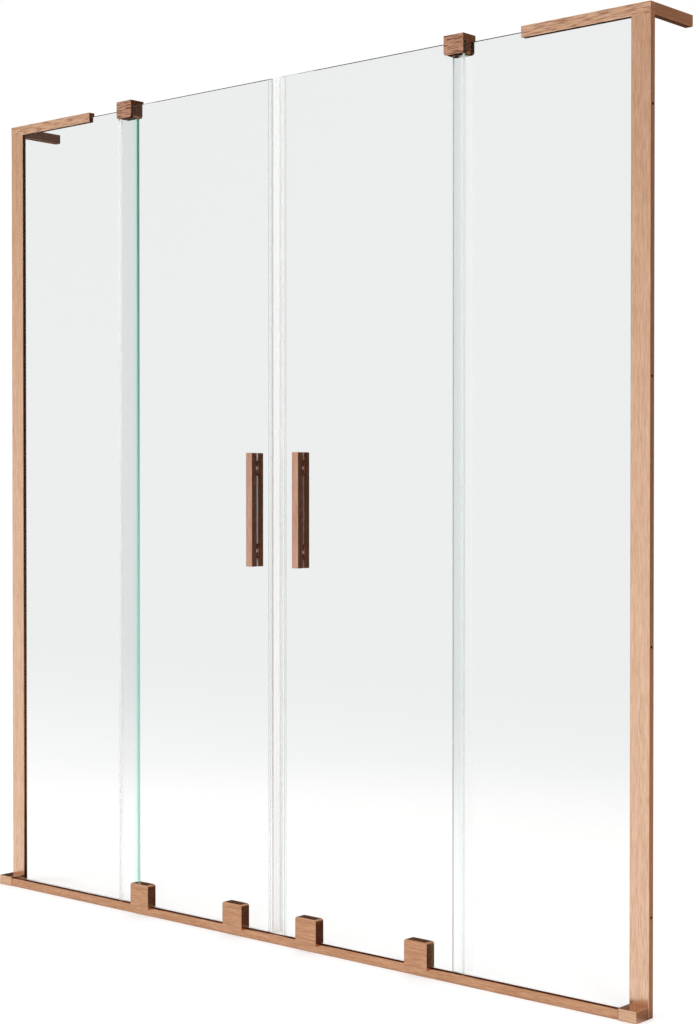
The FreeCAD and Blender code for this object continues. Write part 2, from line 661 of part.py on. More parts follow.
def write_shared(node, solids):
    """Identical pieces of both halves in one node."""
    write(node, solids + [mirrored(solid) for solid in solids])


def write_fixed_pieces():
    """Everything that stays where it is screwed down."""
    write("bottom_rail", [bottom_rail()])
    write_pair("wall_channel", [wall_channel()])
    write_pair("cover_profile", [cover_profile()])
    write_pair("fixed_glass", [fixed_glass()])
    write_pair("stabiliser", [stabiliser()])
    write_pair("rail_end_block", [end_block()])
    write_pair("top_guide", [guide_block()])
    write_shared("profile_gaskets", [profile_gasket()])
    write_shared("profile_screws", profile_screws())
    write_shared("fixed_glass_sills", [fixed_glass_sill()])
    write_shared("stabiliser_pads", stabiliser_pads())
    write_shared("end_block_screws", [end_block_screw()])
    write_shared("top_guide_liners", [guide_liner()])
    write_shared("top_guide_pads", guide_pads())
    write_shared("clamp_grub_screws", clamp_grub_screws())


def write_sliding_pieces():
    """Everything that slides with a pane."""
    write_pair("door_glass", [door_glass()])
    write_pair("closing_seal", [closing_seal()])
    write_pair("magnet_strip", [magnet_strip()])
    write_pair("edge_seal", [edge_seal()])
    write_pair("bottom_seal", [bottom_seal()])
    write_pair("handle_front", [handle_front()])
    write_pair("handle_rear", [handle_rear()])
    write_pair("handle_washers", handle_washers())
    write_pair("handle_studs", handle_studs())
    write_pair("carriage_pads", [carriage_pad(x) for x in CARRIAGE_XS])
    write_pair("carriage_bushes", [carriage_bush(x) for x in CARRIAGE_XS])
    write_pair("carriage_bolts", [carriage_bolt(x) for x in CARRIAGE_XS])
    write_pair("roller_axles", [roller_axle(x) for x in CARRIAGE_XS])
    for name, x in zip(CARRIAGE_NAMES, CARRIAGE_XS):
        write_pair(name + "_carriage", [carriage(x)])
        write_pair(name + "_roller", [roller(x)])
        write_pair(name + "_bearing", [roller_bearing(x)])


os.makedirs("parts", exist_ok=True)
write_fixed_pieces()
write_sliding_pieces()
travel = edge_seal_tip() - PROFILE_INNER_X - STOP_GAP
print("travel of each pane", round(travel, 1), "mm; roller centre height", round(ROLLER_Z, 2), "mm")
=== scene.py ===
# %% [markdown]
# # Dressing a sliding bath screen
# The screen has four panes in a brushed copper frame: two are fixed to the walls and two slide on a
# rail. The shapes come from a measured model that is loaded as a fixed frame, so this lesson is about
# finishes: glass, brushed metal, soft seals, and the small fastenings that are only outlined in the model.

# %% Load the measured frame
import json
import math

import bmesh
import bpy
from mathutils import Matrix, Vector
from mathutils.geometry import tessellate_polygon


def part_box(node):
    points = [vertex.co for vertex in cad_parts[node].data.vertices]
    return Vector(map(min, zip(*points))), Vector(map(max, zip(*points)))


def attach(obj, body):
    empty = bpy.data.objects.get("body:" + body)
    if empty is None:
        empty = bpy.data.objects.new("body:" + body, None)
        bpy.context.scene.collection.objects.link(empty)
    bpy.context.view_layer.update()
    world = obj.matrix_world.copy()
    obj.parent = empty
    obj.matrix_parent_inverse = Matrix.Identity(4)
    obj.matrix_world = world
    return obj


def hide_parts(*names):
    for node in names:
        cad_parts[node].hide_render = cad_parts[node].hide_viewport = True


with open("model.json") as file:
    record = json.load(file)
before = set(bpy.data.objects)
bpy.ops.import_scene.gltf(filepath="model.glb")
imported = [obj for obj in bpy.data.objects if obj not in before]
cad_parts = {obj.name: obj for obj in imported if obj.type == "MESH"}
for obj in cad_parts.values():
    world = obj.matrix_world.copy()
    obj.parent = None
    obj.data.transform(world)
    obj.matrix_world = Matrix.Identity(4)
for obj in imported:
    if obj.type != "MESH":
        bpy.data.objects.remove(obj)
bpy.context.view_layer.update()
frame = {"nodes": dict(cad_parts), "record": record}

scene = bpy.context.scene
scene.view_settings.view_transform = "Standard"

# %% [markdown]
# ## The camera
# The photograph was taken from the right, at about half the screen's height, with a long lens. Such a
# camera could be placed by eye. Here its place was worked out from the screen's edges in the picture,
# so a straight edge of the model falls on the same edge of the photograph.

# %% Place the camera
CAMERA_PLACE = (2.2562, -2.3530, 0.7857)
CAMERA_TURN = 41.565
CAMERA_DIP = 0.7415
LENS_MM = 66.53
SENSOR_MM = 36.0

camera_data = bpy.data.cameras.new("camera")
camera_data.lens = LENS_MM
camera_data.sensor_width = SENSOR_MM
camera = bpy.data.objects.new("camera", camera_data)
camera.location = CAMERA_PLACE
camera.rotation_euler = (math.radians(90 - CAMERA_DIP), 0, math.radians(CAMERA_TURN))
scene.collection.objects.link(camera)
scene.camera = camera
print("camera at", CAMERA_PLACE, "turned", CAMERA_TURN, "degrees")

# %% [markdown]
# ## The studio
# Polished things show the room around them, so the room matters as much as the lamps. Here the room is
# white wherever the camera looks at it, also through the glass. Metal sees a white room in front of the
# screen, warmer higher up, and a dimmer one behind it, where three dark cloths hang. A real studio would
# hang them to give bright metal its dark sides. Here each cloth is a soft round spot in the world's colour,
# placed by the direction it lies in, so no extra object stands in the way. The floor is painted near the
# screen, where it takes a soft shadow, and goes over to plain white further out, so its far edge doesn't
# show. Mirrored in metal it is white in front of the screen and has dark cloths of its own behind it.

# %% Helpers for node trees
def add_node(tree, kind, **settings):
    """One shader node with its settings."""
    node = tree.nodes.new("ShaderNode" + kind)
    for key, value in settings.items():
        setattr(node, key, value)
    return node


def put(tree, value, socket):
    """Feeds a socket from another socket, or sets it to a plain value."""
    if isinstance(value, bpy.types.NodeSocket):
        tree.links.new(value, socket)
    else:
        socket.default_value = value


def add_math(tree, operation, first, second):
    """One sum on two values."""
    node = add_node(tree, "Math", operation=operation)
    put(tree, first, node.inputs[0])
    put(tree, second, node.inputs[1])
    return node.outputs[0]


def add_ramp(tree, factor, stops, interpolation="LINEAR"):
    """A colour ramp: stops are pairs of place and colour."""
    ramp = add_node(tree, "ValToRGB")
    ramp.color_ramp.interpolation = interpolation
    elements = ramp.color_ramp.elements
    while len(elements) < len(stops):
        elements.new(1.0)
    for element, (place, colour) in zip(elements, stops):
        element.position = place
        element.color = colour
    put(tree, factor, ramp.inputs["Fac"])
    return ramp.outputs["Color"]


def add_range(tree, value, from_range, to_range, smooth=False):
    """Carries a value from one range to another, and holds it there."""
    node = add_node(tree, "MapRange", interpolation_type="SMOOTHSTEP" if smooth else "LINEAR")
    names = ("From Min", "From Max", "To Min", "To Max")
    for name, end in zip(names, (*from_range, *to_range)):
        node.inputs[name].default_value = end
    put(tree, value, node.inputs["Value"])
    return node.outputs["Result"]


def add_mix(tree, factor, first, second, kind="Color", blend="MIX"):
    """Goes from one colour or vector to another, or blends two colours."""
    node = add_node(tree, "Mix", data_type="RGBA" if kind == "Color" else "VECTOR", blend_type=blend)
    inputs = {socket.identifier: socket for socket in node.inputs}
    outputs = {socket.identifier: socket for socket in node.outputs}
    put(tree, factor, inputs["Factor_Float"])
    put(tree, first, inputs["A_" + kind])
    put(tree, second, inputs["B_" + kind])
    return outputs["Result_" + kind]


NO_BOUNCE_BELOW = 0.5


def straight_rays(tree):
    """One for rays that reach the camera directly or only through glass, and none for mirrored ones."""
    rays = add_node(tree, "LightPath")
    unmirrored = add_math(tree, "LESS_THAN", rays.outputs["Glossy Depth"], NO_BOUNCE_BELOW)
    through_glass = add_math(tree, "MULTIPLY", rays.outputs["Is Transmission Ray"], unmirrored)
    return add_math(tree, "MAXIMUM", rays.outputs["Is Camera Ray"], through_glass)


def seen(red, green, blue):
    """A colour as it is read off a screen, 0 to 255, turned into the linear light that shaders use."""
    parts = []
    for part in (red, green, blue):
        share = part / 255
        parts.append(share / 12.92 if share <= 0.04045 else ((share + 0.055) / 1.055) ** 2.4)
    return (*parts, 1.0)


print("middle grey on a screen is", round(seen(128, 128, 128)[0], 3), "in linear light")

# %% Room
WHITE = (1.0, 1.0, 1.0, 1.0)
DIM_WARM = (0.42, 0.29, 0.22, 1.0)
DARK_CLOTH = (0.070, 0.035, 0.023, 1.0)
ROOM_HEIGHTS = (-0.1, 0.9)
FRONT_STOPS = [
    (0.0, WHITE),
    (0.10, (0.97, 0.95, 0.93, 1.0)),
    (0.32, (0.67, 0.58, 0.52, 1.0)),
    (0.45, (0.60, 0.51, 0.45, 1.0)),
    (0.80, (0.95, 0.95, 0.95, 1.0)),
]
BACK_STOPS = [(0.45, DIM_WARM), (0.80, (0.90, 0.90, 0.90, 1.0))]
FRONT_TO_BACK = (-0.4, 0.3)
CLOTHS = ((31.0, 3.0, 22.0, 29.0), (142.0, 10.0, 15.0, 24.0), (134.0, -13.0, 24.0, 33.0))


def add_cloth(tree, direction, turn, rise, dark_to, gone_at):
    """One inside a round spot of directions and none outside it; all four are angles in degrees."""
    turn, rise = math.radians(turn), math.radians(rise)
    aim = add_node(tree, "VectorMath", operation="DOT_PRODUCT")
    level = math.cos(rise)
    aim.inputs[1].default_value = (math.cos(turn) * level, math.sin(turn) * level, math.sin(rise))
    tree.links.new(direction, aim.inputs[0])
    rim = (math.cos(math.radians(gone_at)), math.cos(math.radians(dark_to)))
    return add_range(tree, aim.outputs["Value"], rim, (0.0, 1.0), smooth=True)


world = bpy.data.worlds.new("studio")
scene.world = world
world.use_nodes = True
room = world.node_tree
direction = add_node(room, "TexCoord").outputs["Generated"]
parts = add_node(room, "SeparateXYZ")
room.links.new(direction, parts.inputs["Vector"])
height = add_range(room, parts.outputs["Z"], ROOM_HEIGHTS, (0.0, 1.0))
behind = add_range(room, parts.outputs["Y"], FRONT_TO_BACK, (0.0, 1.0), smooth=True)
surroundings = add_mix(room, behind, add_ramp(room, height, FRONT_STOPS), add_ramp(room, height, BACK_STOPS))
for cloth in CLOTHS:
    surroundings = add_mix(room, add_cloth(room, direction, *cloth), surroundings, DARK_CLOTH)
room_colour = add_mix(room, straight_rays(room), surroundings, WHITE)
room.links.new(room_colour, room.nodes["Background"].inputs["Color"])
print("dark cloths:", len(CLOTHS))

# %% Floor
FLOOR_HALF = 4.5
FLOOR_GLOW = (0.36, 0.36, 0.36, 1.0)
FLOOR_PAINT = (0.7, 0.7, 0.7, 1.0)
NO_PAINT = (0.0, 0.0, 0.0, 1.0)
FLOOR_FADE = (1.0, 2.4)
MIRRORED_DEPTHS = (-0.10, 0.90)
MIRRORED_STOPS = [(0.08, WHITE), (0.13, DIM_WARM)]
FLOOR_CLOTH_STOPS = [(0.08, WHITE), (0.13, DARK_CLOTH), (0.35, DARK_CLOTH), (0.80, DIM_WARM)]
FLOOR_CLOTH_END = (0.72, 0.78)
FAR_CLOTH_X = (-1.4, -0.6)
FAR_CLOTH_Y = (2.0, 3.0)

floor_mesh = bpy.data.meshes.new("floor")
corners = [(-1, -1), (1, -1), (1, 1), (-1, 1)]
floor_mesh.from_pydata([(x * FLOOR_HALF, y * FLOOR_HALF, 0) for x, y in corners], [], [(0, 1, 2, 3)])
floor = bpy.data.objects.new("floor", floor_mesh)
scene.collection.objects.link(floor)

floor_finish = bpy.data.materials.new("studio_floor")
floor_finish.use_nodes = True
tree = floor_finish.node_tree
tree.nodes.remove(tree.nodes["Principled BSDF"])
on_floor = add_node(tree, "TexCoord").outputs["Object"]
from_middle = add_node(tree, "VectorMath", operation="LENGTH")
tree.links.new(on_floor, from_middle.inputs[0])
faded = add_range(tree, from_middle.outputs["Value"], FLOOR_FADE, (0.0, 1.0), smooth=True)
paint = add_node(tree, "BsdfDiffuse")
tree.links.new(add_mix(tree, faded, FLOOR_PAINT, NO_PAINT), paint.inputs["Color"])
place = add_node(tree, "SeparateXYZ")
tree.links.new(on_floor, place.inputs["Vector"])
depth = add_range(tree, place.outputs["Y"], MIRRORED_DEPTHS, (0.0, 1.0))
sideways = add_math(tree, "ABSOLUTE", place.outputs["X"], 0.0)
beside = add_range(tree, sideways, FLOOR_CLOTH_END, (0.0, 1.0))
on_cloth = add_ramp(tree, depth, FLOOR_CLOTH_STOPS)
mirrored_colour = add_mix(tree, beside, on_cloth, add_ramp(tree, depth, MIRRORED_STOPS))
far_left = add_range(tree, place.outputs["X"], FAR_CLOTH_X, (1.0, 0.0), smooth=True)
far_back = add_range(tree, place.outputs["Y"], FAR_CLOTH_Y, (0.0, 1.0), smooth=True)
far_cloth = add_math(tree, "MULTIPLY", far_left, far_back)
mirrored_colour = add_mix(tree, far_cloth, mirrored_colour, DARK_CLOTH)
mirrored = add_math(tree, "MINIMUM", add_node(tree, "LightPath").outputs["Glossy Depth"], 1.0)
glow = add_node(tree, "Emission")
tree.links.new(add_mix(tree, faded, FLOOR_GLOW, WHITE), glow.inputs["Color"])
tree.links.new(straight_rays(tree), glow.inputs["Strength"])
lit_floor = add_node(tree, "AddShader")
tree.links.new(paint.outputs[0], lit_floor.inputs[0])
tree.links.new(glow.outputs[0], lit_floor.inputs[1])
mirrored_floor = add_node(tree, "Emission")
tree.links.new(mirrored_colour, mirrored_floor.inputs["Color"])
either = add_node(tree, "MixShader")
tree.links.new(mirrored, either.inputs["Fac"])
tree.links.new(lit_floor.outputs[0], either.inputs[1])
tree.links.new(mirrored_floor.outputs[0], either.inputs[2])
tree.links.new(either.outputs[0], tree.nodes["Material Output"].inputs["Surface"])
floor_mesh.materials.append(floor_finish)
print("floor", 2 * FLOOR_HALF, "m wide")

# %% Soft boxes
SOFT_BOXES = (
    ("key_soft_box", (-2.0, -2.8, 4.3), 2.0, 44.0),
    ("fill_soft_box", (3.2, -2.2, 2.0), 1.6, 58.0),
    ("back_soft_box", (-2.4, 3.2, 4.3), 2.0, 40.0),
)
SCREEN_MIDDLE = Vector((0.0, 0.0, 0.75))
LAMP_COLOUR = (0.955, 0.985, 1.0)


def soft_box(name, place, width, watts):
    """A square lamp that faces the middle of the screen and isn't seen itself, nor in metal or glass."""
    lamp = bpy.data.lights.new(name, "AREA")
    lamp.shape = "SQUARE"
    lamp.size = width
    lamp.energy = watts
    lamp.color = LAMP_COLOUR
    box = bpy.data.objects.new(name, lamp)
    box.location = place
    box.rotation_euler = (SCREEN_MIDDLE - Vector(place)).to_track_quat("-Z", "Y").to_euler()
    box.visible_camera = False
    box.visible_glossy = False
    box.visible_transmission = False
    scene.collection.objects.link(box)
    return box


for name, place, width, watts in SOFT_BOXES:
    print("lamp", soft_box(name, place, width, watts).name, watts, "W")

# %% [markdown]
# ## Brushed copper
# Every metal piece is copper coloured and brushed along its length, and the lines are coarse enough to
# read as streaks from across a room. A photograph of metal could be wrapped round the pieces, but then
# the streaks would be lost in other sizes. Two noises, stretched along the brushing, do it at any
# distance: a slow one tints the streaks and a fine one makes the hairlines that roughen the surface. A
# third one leaves dark scores where the brush dug in, which the short pieces show most and the arms of the
# corner bars hardly at all.
# The pieces get six tone sets of the one copper, lit and shaded copies that are painted light and shade
# for how the light falls on each: the wall profiles and corner bars are painted palest, and the rail and
# its carriages warmest.

# %% Brushed copper
STREAK_LENGTH = 0.070
STREAK_WIDTH = 0.0050
HAIR_LENGTH = 0.016
HAIR_WIDTH = 0.0012
SCORE_LENGTH = 0.024
SCORE_WIDTH = 0.0019
SCORE_LEVELS = (0.47, 0.62)
SCORE_COPPER = seen(118, 74, 48)
ARM_SCORES = 0.15
# Painted shade: the arm of a corner bar is darkened by this factor, for the shade it sits in.
ARM_PAINTED_SHADE = (0.80, 0.76, 0.74, 1.0)
STREAK_SHARE = 0.55
TONE_PLACES = (0.34, 0.5, 0.66)
COPPER_ROUGHNESS = (0.16, 0.32)
HAIR_RELIEF = 0.15
HAIR_DEPTH = 0.0002
GRAIN_AXES = {"X": 0, "Y": 1, "Z": 2}
# Painted light and shade: six lit and shaded copies of one copper, paler or darker by piece for how the light
# falls on it.
PALE_COPPER = (seen(217, 175, 145), seen(230, 190, 161), seen(241, 204, 177))
BLOCK_COPPER = (seen(199, 154, 123), seen(215, 172, 141), seen(229, 188, 159))
WARM_COPPER = (seen(180, 128, 95), seen(199, 149, 115), seen(216, 169, 136))
ROSE_COPPER = (seen(187, 143, 119), seen(203, 161, 138), seen(218, 178, 156))
CORNER_COPPER = (seen(230, 187, 155), seen(242, 201, 171), seen(250, 214, 187))
GUIDE_COPPER = (seen(200, 153, 127), seen(217, 172, 147), seen(231, 189, 165))


def stretched_noise(tree, coordinates, axis, length, width, **inputs):
    """A noise drawn out along one axis."""
    scale = [1 / width] * 3
    scale[GRAIN_AXES[axis]] = 1 / length
    stretch = add_node(tree, "Mapping")
    stretch.inputs["Scale"].default_value = scale
    tree.links.new(coordinates, stretch.inputs["Vector"])
    noise = add_node(tree, "TexNoise")
    noise.inputs["Scale"].default_value = 1.0
    for key, value in inputs.items():
        noise.inputs[key].default_value = value
    tree.links.new(stretch.outputs["Vector"], noise.inputs["Vector"])
    return noise.outputs["Fac"]


def turn_on_arm(tree, coordinates, arm_from):
    """Swaps X and Y past a place in Y, so that the grain turns round a corner; also says where that is."""
    parts = add_node(tree, "SeparateXYZ")
    tree.links.new(coordinates, parts.inputs["Vector"])
    swapped = add_node(tree, "CombineXYZ")
    for source, target in (("Y", "X"), ("X", "Y"), ("Z", "Z")):
        tree.links.new(parts.outputs[source], swapped.inputs[target])
    on_arm = add_math(tree, "GREATER_THAN", parts.outputs["Y"], arm_from)
    return add_mix(tree, on_arm, coordinates, swapped.outputs["Vector"], "Vector"), on_arm


def new_finish(name):
    """An empty material with its main shader."""
    finish = bpy.data.materials.new(name)
    finish.use_nodes = True
    return finish, finish.node_tree, finish.node_tree.nodes["Principled BSDF"]


def add_relief(tree, height, shader, strength, depth):
    """Fine relief on a surface, from a height between 0 and 1 and its depth in metres."""
    bump = add_node(tree, "Bump")
    bump.inputs["Strength"].default_value = strength
    bump.inputs["Distance"].default_value = depth
    tree.links.new(height, bump.inputs["Height"])
    tree.links.new(bump.outputs["Normal"], shader.inputs["Normal"])


def brushed_copper(name, axis, tones, scored, arm_from=None):
    """Copper brushed along an axis and scored to a share, round the corner of a bar if it has an arm, whose
    colour gets painted shade.
    """
    finish, tree, shader = new_finish(name)
    coordinates = add_node(tree, "TexCoord").outputs["Object"]
    on_arm = None
    if arm_from is not None:
        coordinates, on_arm = turn_on_arm(tree, coordinates, arm_from)
    streaks = stretched_noise(
        tree, coordinates, axis, STREAK_LENGTH, STREAK_WIDTH, Detail=3.0, Roughness=0.6, Distortion=0.6
    )
    hairs = stretched_noise(tree, coordinates, axis, HAIR_LENGTH, HAIR_WIDTH, Detail=2.0)
    slow = add_math(tree, "MULTIPLY", streaks, STREAK_SHARE)
    fine = add_math(tree, "MULTIPLY", hairs, 1 - STREAK_SHARE)
    colour = add_ramp(tree, add_math(tree, "ADD", slow, fine), list(zip(TONE_PLACES, tones)))
    scores = stretched_noise(tree, coordinates, axis, SCORE_LENGTH, SCORE_WIDTH, Detail=1.0, Distortion=0.3)
    depth = add_range(tree, scores, SCORE_LEVELS, (0.0, scored), smooth=True)
    if on_arm is not None:
        depth = add_math(tree, "MULTIPLY", depth, add_range(tree, on_arm, (0.0, 1.0), (1.0, ARM_SCORES)))
        # Painted shade on the arm.
        colour = add_mix(tree, on_arm, colour, add_mix(tree, 1.0, colour, ARM_PAINTED_SHADE, blend="MULTIPLY"))
    tree.links.new(add_mix(tree, depth, colour, SCORE_COPPER), shader.inputs["Base Color"])
    shader.inputs["Metallic"].default_value = 1.0
    tree.links.new(add_range(tree, hairs, (0.0, 1.0), COPPER_ROUGHNESS), shader.inputs["Roughness"])
    add_relief(tree, hairs, shader, HAIR_RELIEF, HAIR_DEPTH)
    return finish


BAR_DEPTH = 0.013
arm_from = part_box("left_stabiliser")[0].y + BAR_DEPTH
copper_profile = brushed_copper("copper_wall_profile", "Z", PALE_COPPER, scored=0.12)
copper_block = brushed_copper("copper_end_block", "X", BLOCK_COPPER, scored=0.08)
copper_handle = brushed_copper("copper_handle", "Z", ROSE_COPPER, scored=0.12)
copper_guide = brushed_copper("copper_top_guide", "X", GUIDE_COPPER, scored=0.9)
copper_fitting = brushed_copper("copper_rail_and_fittings", "X", WARM_COPPER, scored=0.12)
copper_corner = brushed_copper("copper_corner_bar", "X", CORNER_COPPER, scored=0.5, arm_from=arm_from)
print("copper finishes made, with streaks", STREAK_WIDTH * 1000, "mm wide")

# %% [markdown]
# ## Glass
# The panes are 6 mm toughened glass, nearly clear from the front and green along their edges, with a
# ground bevel. Light that travels inside the sheet picks up the green and leaves at the edge. One could
# let the renderer follow that light through a coloured volume, but it needs long paths. A surface that
# knows which way it faces is quicker, and much of the light is painted into its colours. The faces are
# clear, with a faint grey that goes near the rail, where painted light clears them, and their mirror sheen
# is turned off, because it would veil the room behind. On the fixed panes the upright edges are green at
# the top and go to mint towards the rail as painted light, and the left pane has a painted green glow just
# inside its free edge. The sliding panes have polished edges, which are half clear higher up and painted
# white near the rail. Level edges are grey, and rims beside the top guides are painted the dark copper
# they would mirror, as painted reflection and shade. Seen from inside the sheet an edge is painted white,
# a painted reflection of the bright room, and the Fresnel node tells where.

# %% Tints of the glass
GLASS_IOR = 1.5
GLASS_SHEEN = (0.0, 0.0, 0.0, 1.0)
GLASS_ROUGHNESS = (0.0, 0.03)
SMUDGE_LENGTH = 0.20
SMUDGE_WIDTH = 0.05
PANE_TINT = (0.845, 0.862, 0.861, 1.0)
# Painted light: towards the rail the faces go from the grey tint to this nearly clear colour, between the
# heights below; the seals use the same heights.
PANE_CLEAR = (0.995, 0.997, 0.996, 1.0)
PAINTED_LIGHT_HEIGHTS = (0.08, 0.50)
# Painted glow: green just inside the free edge of the left fixed pane, and barely any on the right one.
PAINTED_GLOW_REACH = 0.014
LEFT_PAINTED_GLOW_STOPS = [
    (0.0, (0.26, 0.52, 0.45, 1.0)),
    (0.14, (0.48, 0.78, 0.70, 1.0)),
    (0.22, (0.72, 1.0, 0.92, 1.0)),
    (0.55, (0.86, 1.0, 0.97, 1.0)),
    (1.0, WHITE),
]
RIGHT_PAINTED_GLOW_STOPS = [(0.0, (0.97, 1.0, 0.99, 1.0)), (0.7, WHITE)]
# The green of the upright edges is their own; its going to mint towards the rail is painted light.
EDGE_HEIGHTS = (0.0, 1.5)
EDGE_STOPS = [
    (0.10, seen(206, 255, 246)),
    (0.37, seen(196, 255, 240)),
    (0.62, seen(146, 216, 201)),
    (0.96, seen(113, 169, 153)),
]
# Polished edges are painted white near the rail and take this tint higher up.
POLISHED_EDGE = seen(222, 232, 228)
POLISH = 0.5
# Painted reflection: an edge seen from inside the sheet is painted white for the bright room it would mirror.
PAINTED_INNER_REFLECTION = WHITE
BEVEL_MINT = seen(235, 255, 252)
BEVEL_GREY = seen(84, 95, 91)
# Painted reflection and shade: rims beside the top guides take the dark copper they would mirror in the
# guides' shade.
GUIDE_SHADE = seen(70, 52, 42)
GUIDE_REACH = 0.027

free_edge = -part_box("left_fixed_glass")[1].x
guide_low, guide_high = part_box("left_top_guide")
guide_from = -guide_high.x - GUIDE_REACH
print("free edges of the fixed panes:", round(free_edge, 4), "m from the middle")

# %% Where a point of a pane lies and which way it faces
MIRROR_FROM = 0.9
BEVEL_FLATNESS = 0.4
FACE_FLATNESS = 0.9


def pane_sides(tree):
    """The places and shares, of one or none, that tell the faces, bevels and edges of a pane apart."""
    coordinates = add_node(tree, "TexCoord").outputs["Object"]
    place = add_node(tree, "SeparateXYZ")
    tree.links.new(coordinates, place.inputs["Vector"])
    facing = add_node(tree, "SeparateXYZ")
    tree.links.new(add_node(tree, "NewGeometry").outputs["True Normal"], facing.inputs["Vector"])
    off_middle = add_math(tree, "ABSOLUTE", place.outputs["X"], 0.0)
    on_left = add_math(tree, "LESS_THAN", place.outputs["X"], 0.0)
    to_side = add_math(tree, "ABSOLUTE", facing.outputs["X"], 0.0)
    to_front = add_math(tree, "ABSOLUTE", facing.outputs["Y"], 0.0)
    to_room = add_math(tree, "LESS_THAN", facing.outputs["Y"], -BEVEL_FLATNESS)
    at_top = add_math(tree, "GREATER_THAN", place.outputs["Z"], guide_low.z)
    past_guide = add_math(tree, "GREATER_THAN", off_middle, guide_from)
    fresnel = add_node(tree, "Fresnel")
    fresnel.inputs["IOR"].default_value = GLASS_IOR
    return {
        "coordinates": coordinates,
        "z": place.outputs["Z"],
        # How far up a point is within the painted light near the rail.
        "height": add_range(tree, place.outputs["Z"], PAINTED_LIGHT_HEIGHTS, (0.0, 1.0), smooth=True),
        "off_middle": off_middle,
        "on_left": on_left,
        "is_face": add_math(tree, "GREATER_THAN", to_front, FACE_FLATNESS),
        "is_edge": add_math(tree, "GREATER_THAN", to_side, FACE_FLATNESS),
        "is_level": add_math(tree, "LESS_THAN", to_side, BEVEL_FLATNESS),
        "on_front": add_math(tree, "MULTIPLY", on_left, to_room),
        "by_guide": add_math(tree, "MULTIPLY", at_top, past_guide),
        "from_inside": add_math(tree, "GREATER_THAN", fresnel.outputs["Fac"], MIRROR_FROM),
    }


def rest_of(tree, share):
    """None where a share is one, and one where it is none."""
    return add_range(tree, share, (0.0, 1.0), (1.0, 0.0))


face_angle = math.degrees(math.acos(FACE_FLATNESS))
print("a face looks within", round(face_angle), "degrees of the front or the back")

# %% Pane glass
def face_tint(tree, at, polished):
    """Painted light: clearer near the rail and faintly grey above; a fixed pane also gets a painted glow next
    to its free edge.
    """
    face = add_mix(tree, at["height"], PANE_CLEAR, PANE_TINT)
    if polished:
        return face
    # A painted glow along the free edge.
    from_edge = add_range(tree, at["off_middle"], (free_edge, free_edge + PAINTED_GLOW_REACH), (0.0, 1.0))
    left_painted_glow = add_ramp(tree, from_edge, LEFT_PAINTED_GLOW_STOPS)
    painted_edge_glow = add_mix(tree, at["on_left"], add_ramp(tree, from_edge, RIGHT_PAINTED_GLOW_STOPS), left_painted_glow)
    return add_mix(tree, 1.0, face, painted_edge_glow, blend="MULTIPLY")


def rim_tint(tree, at, polished):
    """The edges and bevels round a pane, painted lighter towards the rail, painted white from inside as a
    reflection and painted dark beside the guides as shade; on the left half the front bevels take the edge's
    colour.
    """
    if polished:
        edge = add_mix(tree, at["height"], WHITE, POLISHED_EDGE)
    else:
        edge = add_ramp(tree, add_range(tree, at["z"], EDGE_HEIGHTS, (0.0, 1.0)), EDGE_STOPS)
    upright = add_mix(tree, at["is_edge"], BEVEL_MINT, edge)
    upright = add_mix(tree, at["on_front"], upright, edge)
    # Painted reflection of the room, where an edge is seen from inside.
    upright = add_mix(tree, at["from_inside"], upright, PAINTED_INNER_REFLECTION)
    rim = add_mix(tree, at["is_level"], upright, BEVEL_GREY)
    # Painted shade beside the top guides.
    return add_mix(tree, at["by_guide"], rim, GUIDE_SHADE)


def clear_share(tree, at, polished):
    """How much light goes through: all of it at the faces, and a share at some of the rims."""
    through = add_math(tree, "MULTIPLY", at["is_level"], at["from_inside"])
    if polished:
        upright = add_math(tree, "MULTIPLY", rest_of(tree, at["is_level"]), rest_of(tree, at["from_inside"]))
        polish = add_math(tree, "MULTIPLY", at["height"], POLISH)
        through = add_math(tree, "MAXIMUM", through, add_math(tree, "MULTIPLY", upright, polish))
    through = add_math(tree, "MULTIPLY", through, rest_of(tree, at["by_guide"]))
    return add_math(tree, "MAXIMUM", at["is_face"], through)


def pane_glass(name, polished):
    """Clear glass whose faces, bevels and edges have their own tint with painted light and shade in it;
    polished edges are clear as well.
    """
    finish, tree, shader = new_finish(name)
    at = pane_sides(tree)
    colour = add_mix(tree, at["is_face"], rim_tint(tree, at, polished), face_tint(tree, at, polished))
    tree.links.new(colour, shader.inputs["Base Color"])
    smudges = stretched_noise(tree, at["coordinates"], "Z", SMUDGE_LENGTH, SMUDGE_WIDTH, Detail=3.0)
    tree.links.new(add_range(tree, smudges, (0.0, 1.0), GLASS_ROUGHNESS), shader.inputs["Roughness"])
    tree.links.new(clear_share(tree, at, polished), shader.inputs["Transmission Weight"])
    shader.inputs["Specular Tint"].default_value = GLASS_SHEEN
    shader.inputs["IOR"].default_value = GLASS_IOR
    return finish


fixed_glass = pane_glass("fixed_pane_glass", polished=False)
door_glass = pane_glass("sliding_pane_glass", polished=True)
print("glass finishes:", fixed_glass.name, door_glass.name)

# %% [markdown]
# ## Seals, rubber, nylon and steel
# The seals are soft clear strips. Making them see-through with alpha keeps the light going straight on, as
# in a thin film, where true refraction would turn the hollow strips dark. They are milky where they hold
# the magnets, at the middle of the screen, and grey at the tips of the clips that grip the panes, a painted
# shade where the rounded tips would bend the light, so the alpha and the colour follow the distance from
# the middle and the way a face looks. The outer seals are made clearer towards the rail, as painted light,
# and the left one is painted milkier than the right one, for the light it catches. The rest is seldom
# seen: black rubber pads, brown liners in the top guides, off-white nylon bushes and rollers, and plain
# steel screws. Each gets a little unevenness, because a single flat colour looks like a drawing.

# %% Soft and plain finishes
GRAIN_LEVELS = (0.3, 0.7)
GRAIN_RELIEF = 0.3


